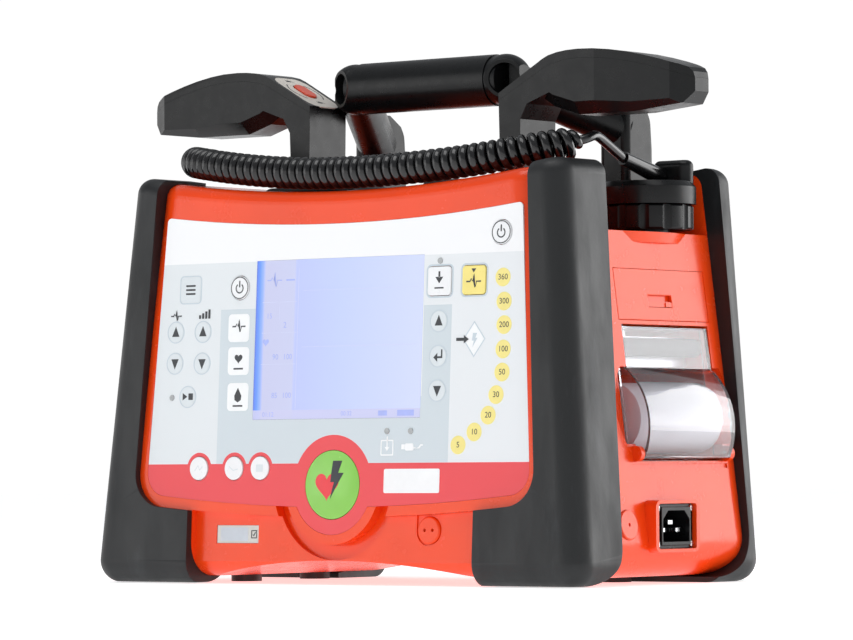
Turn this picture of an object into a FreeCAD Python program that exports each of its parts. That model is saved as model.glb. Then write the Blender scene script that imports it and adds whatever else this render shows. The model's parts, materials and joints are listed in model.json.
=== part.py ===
"""Portable manual defibrillator with a monitor, pacer keys, a strip printer and two hard paddles.

Millimetres, +Z up. X runs across the front, -Y is the front, and the origin is on the ground
under the middle of the case. Every piece is a solid of its own, in a file of its own.
"""
import FreeCAD, Part
import math
import os

V = FreeCAD.Vector

# ------------------------------------------------------------------ driving dimensions
BASE_HALF_WIDTH = 165.0      # half the case's width at the ground
SIDE_TILT = 7.7              # the sides lean in, degrees
FRONT_TILT = 3.3             # the front leans back
REAR_TILT = 1.2              # the rear leans out
FRONT_Y = -86.4              # front plane at the ground
REAR_Y = 83.6                # rear plane at the ground
SPLIT_Y = -55.0              # where the two shells meet, under the front bumpers
FLOOR_Z = 4.0                # underside of the shells; the bumpers and feet go lower
TOP_MID_Z = 211.0            # the top is a shallow saddle: lowest in the middle
TOP_RADIUS = 915.0
CORNER = 24.0                # radius of the upright corners
WALL = 3.0
GAP = 0.3                    # between pieces that move apart
BUMPER = 4.0                 # how far the rubber bumpers stand proud at the front
REAR_BUMPER = 4.2            # and at the rear
GUARD_HALF_WIDTH = 167.4     # their half width at the ground, and how far their sides lean in
GUARD_TILT = 5.3
GUARD_CORNERS = (13.0, 22.0)  # radius of their front and rear corners
BUMPER_LIFT = 1.5            # and how far they rise over the top
PANEL_HALF_TOP = 121.4       # control panel: half width and height of its upper corners
PANEL_TOP_Z = 200.7
PANEL_TOP_MID_Z = 193.5      # its upper edge dips in the middle
PANEL_HALF_LOW = 130.9
PANEL_LOW_Z = 49.0
PANEL_LOW_MID_Z = 41.5
PANEL_T = 1.0
RIM = 5.3                    # the shell's border round the panel
LOWER_STEP = 3.5             # the face under the panel stands back by this
FRONT_WALL = 7.5
SHOCK_Z = 53.5               # green key and the round lobe of the panel that holds it
SHOCK_R = 18.3
LOBE_R = 26.8
SCREEN = (-56.7, 57.7, 88.7, 174.9)
INNER_X = 97.0               # the lower bumpers end here
ARCH_RISE = 9.0              # the underside is arched between the bumpers
POCKET = (94.5, -35.0, 68.0, 186.5)   # connector pocket: inner x, front y, rear y, floor z
PLUG_X, PLUG_Y = 122.0, 37.3
BAY = (-23.0, 57.0, 65.4, 138.3)      # printer opening on the side: y from, to, height from, to
HATCH = (-25.0, 59.0, 140.3, 168.0)
INLET_Y, INLET_Z = -1.8, 30.7
INLET_X = 167.0              # outer face of the mains inlet's upright boss
HANDLE_Y, HANDLE_Z, HANDLE_R = 5.0, 272.0, 13.6
LEG_X, LEG_Y, LEG_TOP_Z = (76.0, 95.0), (56.0, 83.0), 262.0
PADDLE_Y = (-20.0, 12.0)     # front and rear faces of the grips
NECK_X = 65.0
PADDLE_BASE = (24.0, 86.0, -41.0, 41.0)
DECK_Z = 203.5               # floor of the two paddle wells
BATTERY = (-58.0, 58.0, 22.0, 92.0)   # bay in the rear wall: x from, to, z from, to


# ------------------------------------------------------------------ helpers
class WorkPlane:
    """u and v lie in the plane and w points out of it."""

    def __init__(self, origin, u, v):
        self.origin, self.u, self.v, self.w = origin, u, v, u.cross(v)

    def put(self, shape):
        o, u, v, w = self.origin, self.u, self.v, self.w
        m = FreeCAD.Matrix(u.x, v.x, w.x, o.x, u.y, v.y, w.y, o.y, u.z, v.z, w.z, o.z, 0, 0, 0, 1)
        placed = shape.copy()
        placed.Placement = FreeCAD.Placement(m).multiply(placed.Placement)
        return placed


def tan(degrees):
    return math.tan(math.radians(degrees))


def leaning(degrees):
    """(cos, sin) of a tilt."""
    return math.cos(math.radians(degrees)), math.sin(math.radians(degrees))


_c, _s = leaning(FRONT_TILT)
PANEL = WorkPlane(V(0, FRONT_Y, 0), V(1, 0, 0), V(0, _s, _c))
_c, _s = leaning(SIDE_TILT)
SIDE = WorkPlane(V(BASE_HALF_WIDTH, 0, 0), V(0, 1, 0), V(-_s, 0, _c))
FRONTAL = WorkPlane(V(0, 0, 0), V(1, 0, 0), V(0, 0, 1))       # w is -Y
PROFILE = WorkPlane(V(0, 0, 0), V(0, 1, 0), V(0, 0, 1))       # w is +X


def box(x0, x1, y0, y1, z0, z1, r=0.0, axis=2):
    """A box whose edges along one axis are rounded."""
    b = Part.makeBox(x1 - x0, y1 - y0, z1 - z0, V(x0, y0, z0))
    if r:
        b = b.makeFillet(r, [e for e in b.Edges if runs_along(e, axis)])
    return b


def runs_along(edge, axis):
    a, b = edge.Vertexes[0].Point, edge.Vertexes[-1].Point
    d = [abs(a[i] - b[i]) for i in range(3)]
    return d[axis] > 1e-6 and sum(d) - d[axis] < 1e-6


def disc(u, v, r, w0, w1):
    return Part.makeCylinder(r, w1 - w0, V(u, v, w0))


def rod(a, b, r):
    return Part.makeCylinder(r, (b - a).Length, a, b - a)


def prism(points, w0, w1):
    """A polygon in u and v, drawn out from w0 to w1."""
    wire = Part.makePolygon([V(u, v, w0) for u, v in points + points[:1]])
    return Part.Face(wire).extrude(V(0, 0, w1 - w0))


def rounded(shape, r, pick):
    """The shape with the picked edges rounded."""
    return shape.makeFillet(r, [e for e in shape.Edges if pick(e)])


def lathe(profile, axis_at, axis=V(0, 0, 1)):
    """A turned solid from (radius, height) points."""
    wire = Part.makePolygon([V(r, 0, h) for r, h in profile + profile[:1]])
    turned = Part.Face(wire).revolve(V(0, 0, 0), V(0, 0, 1), 360)
    turned.Placement = FreeCAD.Placement(axis_at, FreeCAD.Rotation(V(0, 0, 1), axis))
    return turned


def joined(shapes):
    first = shapes[0]
    return first.fuse(shapes[1:]).removeSplitter() if len(shapes) > 1 else first


def mirrored(shape):
    return shape.mirror(V(0, 0, 0), V(1, 0, 0))


def group(solids):
    return Part.makeCompound(solids)


# ------------------------------------------------------------------ the case
def plan(z, half, grow, front_r, rear_r):
    """A rectangle with round corners at height z, standing off the front and rear planes by grow."""
    y0 = FRONT_Y + z * tan(FRONT_TILT) - grow[0]
    y1 = REAR_Y + z * tan(REAR_TILT) + grow[1]
    near, far = front_r * (1 - math.sqrt(0.5)), rear_r * (1 - math.sqrt(0.5))
    right = [(half - front_r, y0), (half - near, y0 + near), (half, y0 + front_r), (half, y1 - rear_r),
             (half - far, y1 - far), (half - rear_r, y1)]
    left = [(-x, y) for x, y in reversed(right)]
    p = [V(x, y, z) for x, y in left[-1:] + right + left[:-1]]
    edges = []
    for i in (0, 3, 6, 9):
        edges.append(Part.LineSegment(p[i], p[i + 1]).toShape())
        edges.append(Part.Arc(p[i + 1], p[i + 2], p[(i + 3) % 12]).toShape())
    return Part.Wire(edges)


def rounded_rect(z, inset):
    half = BASE_HALF_WIDTH - z * tan(SIDE_TILT) - inset
    return plan(z, half, (-inset, -inset), CORNER - inset, CORNER - inset)


def saddle(inset):
    """Everything above the shallow saddle of the top."""
    radius = TOP_RADIUS + inset
    return Part.makeCylinder(radius, 400, V(0, -200, TOP_MID_Z + TOP_RADIUS), V(0, 1, 0))


def case(inset, top_inset, top_round, low_round):
    """The outer form of the case, moved in by inset all round and by top_inset on top."""
    low = FLOOR_Z + inset
    form = Part.makeLoft([rounded_rect(low, inset), rounded_rect(250, inset)], True, True)
    return finished(form, low, top_inset, top_round, low_round)


def finished(form, low, top_inset, top_round, low_round):
    """The form cut to the saddle, with its lower and upper edges rounded."""
    form = form.cut(saddle(top_inset))
    form = rounded(form, low_round, lambda e: e.BoundBox.ZMax < low + 0.01)
    return rounded(form, top_round, lambda e: e.BoundBox.ZMin > TOP_MID_Z - top_inset - 1)


def guard_form():
    """The outside of the rubber bumpers, squarer at the front corners and thicker towards the top."""
    low = FLOOR_Z - BUMPER
    wires = [plan(z, GUARD_HALF_WIDTH - z * tan(GUARD_TILT), (BUMPER, REAR_BUMPER), *GUARD_CORNERS)
             for z in (low, 250)]
    return finished(Part.makeLoft(wires, True, True), low, -BUMPER_LIFT, 9.0, 12.0)


def arch(grow):
    half = INNER_X - 6
    radius = (half ** 2 + ARCH_RISE ** 2) / (2 * ARCH_RISE)
    return Part.makeCylinder(radius + grow, 400, V(0, -200, FLOOR_Z + ARCH_RISE - radius), V(0, 1, 0))


def panel_form(grow, w0, w1, with_lobe=True, top=None):
    """The control panel's outline, drawn out from w0 to w1."""
    top_z, mid = PANEL_TOP_Z + grow, PANEL_TOP_MID_Z + grow
    half_top, half_low = PANEL_HALF_TOP + grow, PANEL_HALF_LOW + grow
    low, low_mid = PANEL_LOW_Z - grow, PANEL_LOW_MID_Z - grow
    if top is not None:
        half_top -= (top - top_z) * (half_low - half_top) / (top_z - low)
        top_z = mid = top
    a, b = V(-half_top, top_z, w0), V(half_top, top_z, w0)
    c, d = V(half_low, low, w0), V(-half_low, low, w0)
    upper = Part.LineSegment(a, b) if top is not None else Part.Arc(a, V(0, mid, w0), b)
    edges = [upper, Part.LineSegment(b, c), Part.Arc(c, V(0, low_mid, w0), d), Part.LineSegment(d, a)]
    form = Part.Face(Part.Wire([e.toShape() for e in edges])).extrude(V(0, 0, w1 - w0))
    upright = [e for e in form.Edges if runs_along(e, 2)]
    form = form.makeFillet(13 + grow, [e for e in upright if e.BoundBox.YMax < 100])
    if top is None:
        form = form.makeFillet(2.5, [e for e in form.Edges if runs_along(e, 2) and e.BoundBox.YMin > 180])
    return form.fuse(disc(0, SHOCK_Z, LOBE_R + grow, w0, w1)).removeSplitter() if with_lobe else form


ROUND_KEYS = {               # moving key caps: centre on the panel and radius
    "power_key": (108.3, 185.0, 6.4),
    "pacer_power_key": (-68.0, 160.6, 6.4),
    "soft_key_left": (-93.3, 62.6, 6.3),
    "soft_key_middle": (-68.5, 62.6, 6.3),
    "soft_key_right": (-50.2, 62.6, 6.3),
}
SQUARE_KEYS = {              # centre and half side
    "manual_key": (68.5, 160.5, 7.6),
    "sync_key": (91.2, 160.4, 7.6),
}
INDICATORS = [(36.0, 81.8), (51.8, 81.7), (68.4, 171.2), (-114.3, 101.4)]
INDICATOR_R = 1.6
KEY_PLAY = 0.35


def outer_case():
    body = case(0.0, 0.0, 8.0, 18.0).cut(arch(0))
    step = box(-INNER_X, INNER_X, -20, 80, -LOWER_STEP, 40)
    step = step.cut(panel_form(RIM, -LOWER_STEP - 1, 41))
    scoop = disc(0, SHOCK_Z, LOBE_R + RIM + 8, -LOWER_STEP - 3, 40).common(box(-60, 60, -20, 43, -20, 60))
    scoop = scoop.cut(disc(0, SHOCK_Z, LOBE_R + RIM, -30, 60))
    return body.cut([PANEL.put(step), PANEL.put(scoop)])


def inner_case():
    hollow = case(WALL, WALL, 5.0, 15.0).cut(arch(WALL))
    return hollow.common(PANEL.put(box(-220, 220, -10, 260, -230, -FRONT_WALL)))


def pocket_box(grow):
    x0, y0, y1, z0 = POCKET
    return box(x0 - grow, 200, y0 - grow, y1 + grow, z0 - grow, 260)


def bay_box(grow, depth):
    u0, u1, v0, v1 = BAY
    return SIDE.put(box(u0 - grow, u1 + grow, v0 - grow, v1 + grow, -depth, 30))


def well_box(grow):
    x0, x1, y0, y1 = PADDLE_BASE
    c = 1.2 + grow
    return box(x0 - c, x1 + c, y0 - c, y1 + c, DECK_Z - grow, 250, 8)


def battery_box(grow, depth=78.0):
    x0, x1, z0, z1 = BATTERY
    return box(x0 - grow, x1 + grow, REAR_Y - depth - grow, 120, z0 - grow, z1 + grow)


def inlet_boss():
    return box(140, INLET_X, INLET_Y - 20, INLET_Y + 20, INLET_Z - 13.7, INLET_Z + 13.7, 4, 0)


def key_round(u, v, r):
    """A cap that slides in the panel, with a flange behind the wall's counterbore."""
    cap = disc(u, v, r, -6.0, 0.6)
    cap = rounded(cap, 0.4, lambda e: e.BoundBox.ZMin > 0.5)
    return cap.fuse(disc(u, v, r + 1.2, -6.6, -5.4)).removeSplitter()


def key_square(u, v, h):
    cap = box(u - h, u + h, v - h, v + h, -6.0, 0.6, 2.0)
    cap = rounded(cap, 0.4, lambda e: e.BoundBox.ZMin > 0.5)
    flange = box(u - h - 1, u + h + 1, v - h - 1, v + h + 1, -6.6, -5.4, 2.5)
    return cap.fuse(flange).removeSplitter()


def key_holes():
    """What the keys and lamps need cut out of the overlay and the shell's front wall."""
    cuts = []
    for u, v, r in ROUND_KEYS.values():
        cuts += [disc(u, v, r + KEY_PLAY, -9, 2), disc(u, v, r + 1.8, -9, -5.0)]
    for u, v, h in SQUARE_KEYS.values():
        for grow, w1 in ((KEY_PLAY, 2), (1.8, -5.0)):
            side = h + grow
            cuts.append(box(u - side, u + side, v - side, v + side, -9, w1, 2.0 + grow))
    cuts += [disc(0, SHOCK_Z, SHOCK_R + KEY_PLAY, -9, 2), disc(0, SHOCK_Z, SHOCK_R + 2.2, -9, -5.0)]
    cuts += [disc(u, v, INDICATOR_R + 0.05, -9, 2) for u, v in INDICATORS]
    return cuts


def screen_box(grow, w0, w1):
    u0, u1, v0, v1 = SCREEN
    return box(u0 - grow, u1 + grow, v0 - grow, v1 + grow, w0, w1)


INLET_SCREWS = [(INLET_Y + a, INLET_Z + b) for a in (-15.2, 15.2) for b in (-9.4, 9.4)]
STATUS = (-82.1, -52.8, 22.3, 31.9)
CAP_U, CAP_V, CAP_R = 63.3, 29.6, 7.4
SIDE_CAP_U, SIDE_CAP_V, SIDE_CAP_R = -38.5, 32.0, 8.0
REAR_SCREWS = [(x, z) for x in (-84.0, 84.0) for z in (112.0, 188.0)]
SCREW_R, SCREW_HEAD_R = 2.0, 3.6
FEET = [(x, y) for x in (-104.0, 104.0) for y in (-30.0, 30.0)]
FOOT_R = 8.5
CONTACTS = [(x, y) for x in (34.0, 76.0) for y in (-26.0, 26.0)]


def front_housing():
    shell = outer_case().cut(inner_case())
    shell = shell.common(Part.makeBox(500, 200, 400, V(-250, SPLIT_Y - 200, -50)))
    u0, u1, v0, v1 = STATUS
    cuts = [panel_form(0, -1.2, 5), screen_box(0.3, -9, 2)] + key_holes()
    cuts.append(box(u0 - 0.1, u1 + 0.1, v0 - 0.1, v1 + 0.1, -9, 0))
    cuts.append(disc(CAP_U, CAP_V, CAP_R + 0.05, -9, 0))
    cuts.append(box(CAP_U - 8.2, CAP_U + 8.2, CAP_V - 8.2, 48, -LOWER_STEP - 0.8, 0, 7.9, 2)
                .cut(panel_form(RIM, -9, 9)))
    shell = shell.cut([PANEL.put(c) for c in cuts])
    return shell


def rear_housing():
    body = outer_case()
    shell = body.cut(inner_case())
    pods = [pocket_box(2.0), bay_box(2.0, 44.0), well_box(2.0), mirrored(well_box(2.0)), battery_box(2.0)]
    pods += [SIDE.put(ear(BAY[0], -1, 2.0)), SIDE.put(ear(BAY[1], 1, 2.0))]
    linings = [pod.common(body) for pod in pods]
    v, w = DOOR_PIVOT
    bosses = [across(v, w, BOSS_R, BAY[0] - 3.4, BAY[0]), across(v, w, BOSS_R, BAY[1], BAY[1] + 3.4)]
    bosses = [SIDE.put(boss) for boss in bosses]
    shell = shell.fuse(linings + bosses + [lip(), inlet_boss().cut(inner_case())])
    shell = shell.cut([pocket_box(0), bay_box(0, 42.0), well_box(0), mirrored(well_box(0)), battery_box(0)])
    u0, u1, v0, v1 = HATCH
    cuts = [box(u0, u1, v0, v1 + 0.1, -2.2, 5), disc(SIDE_CAP_U, SIDE_CAP_V, SIDE_CAP_R + 0.05, -2.0, 5)]
    cuts += [ear(BAY[0], -1), ear(BAY[1], 1), across(v, w, PIN_R, BAY[0] - 3.0, BAY[1] + 3.0)]
    cuts.append(box(-29, 60, 61.5, 64.0, -0.9, 5))
    cuts = [SIDE.put(c) for c in cuts]
    cuts.append(box(INLET_X - 6, 200, INLET_Y - 17.3, INLET_Y + 17.3, INLET_Z - 11.9, INLET_Z + 11.9, 1.5, 0))
    cuts.append(box(120, 200, INLET_Y - 14.2, INLET_Y + 14.2, INLET_Z - 10.2, INLET_Z + 10.2))
    cuts += [Part.makeCylinder(1.1, 6.0, V(INLET_X - 7.8, a, b), V(1, 0, 0)) for a, b in INLET_SCREWS]
    cuts.append(Part.makeCylinder(SOCKET_R, 60, V(PLUG_X, PLUG_Y, POCKET[3] - 40)))
    cuts += [Part.makeBox(500, 200, 400, V(-250, SPLIT_Y - 200, -50))]
    cuts += [Part.makeCylinder(FOOT_R, 3.0, V(x, y, FLOOR_Z - 1.5)) for x, y in FEET]
    cuts += [rear_rod(x, z, SCREW_R, -12, 5) for x, z in REAR_SCREWS]
    cuts += [rear_rod(x, z, SCREW_HEAD_R, -1.6, 5) for x, z in REAR_SCREWS]
    cuts += [Part.makeCylinder(4.0, 3, V(s * x, y, DECK_Z - 1.5)) for s in (-1, 1) for x, y in CONTACTS]
    cuts += [box(x - 1.5, x + 1.5, 70, 110, 132, 166) for x in range(-42, 43, 7)]
    for sign in (-1, 1):
        x = sign * sum(LEG_X) / 2
        cuts.append(box(x - 9.6, x + 9.6, LEG_Y[0], LEG_Y[1], 190, 260, 4))
    return shell.cut(cuts)


def rear_rod(x, z, r, y0, y1):
    """A rod square to the rear, from y0 to y1 about the rear plane."""
    y = REAR_Y + z * tan(REAR_TILT)
    return Part.makeCylinder(r, y1 - y0, V(x, y + y0, z), V(0, 1, 0))


def lip():
    """The shelf under the connector's ring, a shallow bow out of the side."""
    radius, out = 96.0, 4.5
    x = BASE_HALF_WIDTH - 186 * tan(SIDE_TILT)
    bow = Part.makeCone(radius - 1.5, radius, 5.6, V(x + out - radius, 17.6, 181.0))
    return bow.common(box(x - 8, x + 10, -13.5, 48.5, 170, POCKET[3]))


def ear(u, sign, grow=0.0):
    """A finger scoop beside the printer window."""
    scoop = disc(u - sign * 18, 94.0, 32.0 + grow, -6.0 - grow, 5)
    scoop = scoop.common(box(-80, 100, 74.5 - grow, 115.5 + grow, -10, 8))
    return scoop.cut(box(-21.0, 55.0, 60, 130, -20, 10))


def bumpers():
    skin = guard_form().cut(case(0.0, 0.0, 8.0, 18.0))
    front_edge = prism([(-130, 0.5), (-51.3, 0.5), (-35.6, 240), (-130, 240)], 0, 220)
    front_edge = rounded(front_edge, 22, lambda e: runs_along(e, 2) and abs(e.BoundBox.XMax + 51.3) < 1)
    window = prism([(-60, 3), (68.3, 3), (68.3, 260), (-60, 260)], -10, 230)
    window = rounded(window, 26, lambda e: runs_along(e, 2) and e.BoundBox.XMax > 60 and e.BoundBox.YMax < 10)
    rear_edge = box(43, 130, -10, 260, 0, 220).cut(window)
    opening = panel_form(RIM + GAP, -300, 60, False, 260)
    middle = box(-INNER_X - GAP, INNER_X + GAP, -10, 70, -300, 60)
    front_right = skin.common(PROFILE.put(front_edge)).cut([PANEL.put(opening), PANEL.put(middle)])
    rear_right = skin.common(PROFILE.put(rear_edge))
    rear_right = rear_right.cut([FRONTAL.put(opening), FRONTAL.put(middle)])
    return {"front_bumper_right": front_right, "front_bumper_left": mirrored(front_right),
            "rear_bumper_right": rear_right, "rear_bumper_left": mirrored(rear_right)}


# ------------------------------------------------------------------ the control panel
def front_panel():
    sheet = panel_form(-0.15, -1.1, -0.1).cut(key_holes() + [screen_box(0, -5, 5)])
    return PANEL.put(sheet)


def panel_parts():
    u0, u1, v0, v1 = SCREEN
    parts = {"front_panel": front_panel()}
    parts["screen_window"] = PANEL.put(screen_box(-0.1, -1.1, -0.1))
    module = screen_box(0.1, -9.9, -1.3).fuse(screen_box(6, -16, -9.9)).removeSplitter()
    parts["screen_module"] = PANEL.put(module)
    board = box(-117, 117, 52, 192, -9.9, -8.3, 4).fuse(box(-24, 24, 36, 60, -9.9, -8.3)).removeSplitter()
    parts["keypad_board"] = PANEL.put(board.cut(screen_box(6.2, -20, 0)))
    lamps = [disc(u, v, INDICATOR_R, -8.3, 0.3) for u, v in INDICATORS]
    parts["indicator_lamps"] = group([PANEL.put(lamp) for lamp in lamps])
    parts["shock_key"] = PANEL.put(shock_key())
    for name, place in ROUND_KEYS.items():
        parts[name] = PANEL.put(key_round(*place))
    for name, place in SQUARE_KEYS.items():
        parts[name] = PANEL.put(key_square(*place))
    u0, u1, v0, v1 = STATUS
    parts["status_display"] = PANEL.put(box(u0, u1, v0, v1, -8.5, -LOWER_STEP - 0.5))
    cap = disc(CAP_U, CAP_V, CAP_R, -7.4, -LOWER_STEP + 0.7)
    cap = rounded(cap, 1.2, lambda e: e.BoundBox.ZMin > -LOWER_STEP)
    pin_holes = [disc(CAP_U + d, CAP_V, 0.9, -5.5, 0) for d in (-2.6, 2.6)]
    parts["front_socket_cap"] = PANEL.put(cap.cut(pin_holes))
    side_cap = disc(SIDE_CAP_U, SIDE_CAP_V, SIDE_CAP_R, -2.0, 1.2)
    side_cap = rounded(side_cap, 0.8, lambda e: e.BoundBox.ZMin > 1.1)
    parts["side_socket_cap"] = SIDE.put(side_cap.cut(disc(SIDE_CAP_U, SIDE_CAP_V, 1.0, 0, 5)))
    return parts


def shock_key():
    """The green key: a shallow dome on a flanged cap."""
    rise = 1.6
    radius = (SHOCK_R ** 2 + rise ** 2) / (2 * rise)
    dome = Part.makeSphere(radius, V(0, SHOCK_Z, rise - radius))
    cap = disc(0, SHOCK_Z, SHOCK_R, -6.0, rise + 0.5).common(dome)
    return cap.fuse(disc(0, SHOCK_Z, SHOCK_R + 1.6, -6.6, -5.4)).removeSplitter()


# ------------------------------------------------------------------ the printer
ROLL_R, ROLL_BORE, ROLL_V, ROLL_W = 19.0, 6.0, 90.0, -15.0
PLATEN_R, PLATEN_V, PLATEN_W = 5.0, 127.5, -9.0
DOOR_PIVOT = (69.2, 1.4)     # height and depth of the window's pivots
PIN_R = 1.5
BOSS_R = 4.2


def across(v, w, r, u0, u1):
    """A rod that lies along the side plane's u."""
    return Part.makeCylinder(r, u1 - u0, V(u0, v, w), V(1, 0, 0))


def window_profile(inset):
    """The window's cross-section: a flat upper part and a bowed lower part, as (w, v)."""
    face = -0.4 - inset
    bow_low, bow_top = (4.8 - inset, 66.4 + inset), (face, 115.0)
    return face, bow_low, bow_top


def window_block(inset, u0, u1):
    face, (w_low, v_low), (w_top, v_top) = window_profile(inset)
    back, top = -5.5, 137.0 - inset * 0.4
    p = [V(u0, v_low, back), V(u0, v_low, w_low), V(u0, 92.0, 10.5 - inset), V(u0, v_top, w_top),
         V(u0, top, face), V(u0, top, back)]
    edges = [Part.LineSegment(p[0], p[1]), Part.Arc(p[1], p[2], p[3]), Part.LineSegment(p[3], p[4]),
             Part.LineSegment(p[4], p[5]), Part.LineSegment(p[5], p[0])]
    return Part.Face(Part.Wire([e.toShape() for e in edges])).extrude(V(u1 - u0, 0, 0))


def printer_window():
    u0, u1 = BAY[0] + 0.5, BAY[1] - 0.5
    block = window_block(0, u0, u1)
    hollow = window_block(1.8, u0 + 1.8, u1 - 1.8)
    hollow = hollow.fuse(box(u0 + 1.8, u1 - 1.8, 68.2, 135.0, -20, -2.2))
    shell = block.cut(hollow)
    v, w = DOOR_PIVOT
    return SIDE.put(shell.cut(across(v, w, PIN_R + 0.05, u0 - 1, u1 + 1)))


def printer_parts():
    u0, u1, v0, v1 = BAY
    parts = {"printer_window": printer_window()}
    v, w = DOOR_PIVOT
    pins = [across(v, w, PIN_R, u0 - 3.0, u0 + 2.3), across(v, w, PIN_R, u1 - 2.3, u1 + 3.0)]
    parts["window_pivot_pins"] = group([SIDE.put(p) for p in pins])
    a0, a1, b0, b1 = HATCH
    plate = box(a0 + 0.2, a1 - 0.2, b0 + 0.2, b1, -2.1, 0)
    plate = plate.cut(box(4.6, 26.1, 147.7, 154.2, -3, 1))
    parts["printer_cover"] = SIDE.put(plate)
    latch = box(4.9, 25.8, 148.0, 150.9, -2.0, -0.6).fuse(box(20.5, 25.8, 148.0, 150.4, -0.7, 0.0))
    parts["window_latch"] = SIDE.put(latch.removeSplitter())
    roll = across(ROLL_V, ROLL_W, ROLL_R, u0 + 3, u1 - 3)
    roll = roll.cut(across(ROLL_V, ROLL_W, ROLL_BORE, u0, u1))
    parts["paper_roll"] = SIDE.put(roll)
    platen = across(PLATEN_V, PLATEN_W, PLATEN_R, u0 + 3, u1 - 3)
    platen = platen.fuse(across(PLATEN_V, PLATEN_W, 2.0, u0 + 0.4, u1 - 0.4))
    parts["platen_roller"] = SIDE.put(platen.removeSplitter())
    head = box(u0 + 4, u1 - 4, 118, 134, -17.5, -14.6)
    motor = box(u0 + 4, u0 + 26, 118, 138, -41, -17.5)
    frame = box(u0 + 2, u1 - 2, 118, 120, -41, -17.5)
    parts["printer_mechanism"] = SIDE.put(joined([motor, frame, head]))
    return parts


# ------------------------------------------------------------------ mains inlet
def inlet_parts():
    y, z, x = INLET_Y, INLET_Z, INLET_X
    flange = box(x - 5.8, x - 2.6, y - 17.0, y + 17.0, z - 11.6, z + 11.6, 1.5, 0)
    body = box(x - 26, x - 1.0, y - 13.4, y + 13.4, z - 10.0, z + 10.0)
    body = flange.fuse(body)
    cavity = prism([(-12, -8.2), (12, -8.2), (12, 3.6), (7.4, 8.2), (-7.4, 8.2), (-12, 3.6)], x - 18, x + 5)
    cavity.translate(V(y, z, 0))
    body = body.cut(PROFILE.put(cavity)).removeSplitter()
    blades = [box(x - 20, x - 5, y + d - 2, y + d + 2, z + h - 1, z + h + 1) for d, h in
              ((-7, -2), (7, -2), (0, 2))]
    body = body.cut(blades)
    screws = [Part.makeCylinder(1.0, 4.8, V(x - 7.4, a, b), V(1, 0, 0)) for a, b in INLET_SCREWS]
    heads = [Part.makeCone(1.7, 1.4, 0.8, V(x - 2.6, a, b), V(1, 0, 0)) for a, b in INLET_SCREWS]
    body = body.cut([Part.makeCylinder(1.1, 6.0, V(x - 7.8, a, b), V(1, 0, 0)) for a, b in INLET_SCREWS])
    return {"mains_inlet": body, "inlet_blades": group(blades),
            "inlet_screws": group([s.fuse(h) for s, h in zip(screws, heads)])}


# ------------------------------------------------------------------ connector and cord
SOCKET_R = 12.0
RING_R, RING_Z = 24.5, (188.6, 202.0)
CORD_R = 2.6
COIL_R = 9.0
PLUG_CAP_Z = (202.4, 214.8)
BLOCK_Z = 226.5


def connector_parts():
    floor, c = POCKET[3], V(PLUG_X, PLUG_Y, 0)
    socket = lathe([(0, floor - 22), (SOCKET_R, floor - 22), (SOCKET_R, 200),
                    (8, 200), (8, floor - 4), (0, floor - 4)], c)
    contacts = [Part.makeCylinder(1.0, 12, V(PLUG_X + 5 * math.cos(a), PLUG_Y + 5 * math.sin(a), floor - 5))
                for a in (math.radians(72 * i) for i in range(5))]
    socket = joined([socket] + contacts)
    ring = lathe([(12.4, RING_Z[0]), (RING_R - 1, RING_Z[0]), (RING_R, RING_Z[0] + 1), (RING_R, RING_Z[1] - 1),
                  (RING_R - 1, RING_Z[1]), (12.4, RING_Z[1])], c)
    notches = []
    for i in range(12):
        a = math.radians(30 * i)
        notches.append(Part.makeCylinder(4.0, 30, V(PLUG_X + 27.3 * math.cos(a), PLUG_Y + 27.3 * math.sin(a), 180)))
    z0, z1 = PLUG_CAP_Z
    cap = lathe([(0, z0), (26.0, z0), (26.0, z1 - 3), (23.5, z1), (0, z1)], c)
    block = box(PLUG_X - 2, PLUG_X + 30, PLUG_Y + 5.5, PLUG_Y + 30, z1 - 4, BLOCK_Z)
    block = block.common(Part.makeCylinder(24.6, 60, V(PLUG_X, PLUG_Y, 190)))
    block = rounded(block, 5.0, lambda e: runs_along(e, 2))
    block = rounded(block, 3.5, lambda e: e.BoundBox.ZMin > BLOCK_Z - 0.1)
    return {"paddle_socket": socket, "plug_ring": ring.cut(notches),
            "plug_housing": cap.fuse(block).removeSplitter()}


LEAD = [(126.5, 44.0, 217.4), (126.3, 26.0, 221.8), (126.2, 8.4, 226.3), (126.8, -7.0, 233.2),
        (128.0, -19.0, 237.6), (129.0, -27.5, 234.9)]
COIL = [(129.0, -28.5, 233.4), (122.0, -39.0, 231.2), (108.0, -50.5, 229.0), (86.5, -58.2, 225.2),
        (54.0, -61.6, 222.4), (14.0, -63.4, 220.9), (-26.0, -62.6, 221.2), (-64.0, -61.6, 224.0),
        (-98.0, -59.6, 228.4), (-124.0, -50.0, 232.4), (-134.5, -30.0, 233.0)]
TAIL = [(-134.1, -29.0, 233.0), (-128.0, -15.0, 231.4), (-113.0, -6.5, 227.8), (-96.0, -4.5, 225.0),
        (-79.2, -4.0, 224.0)]


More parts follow.
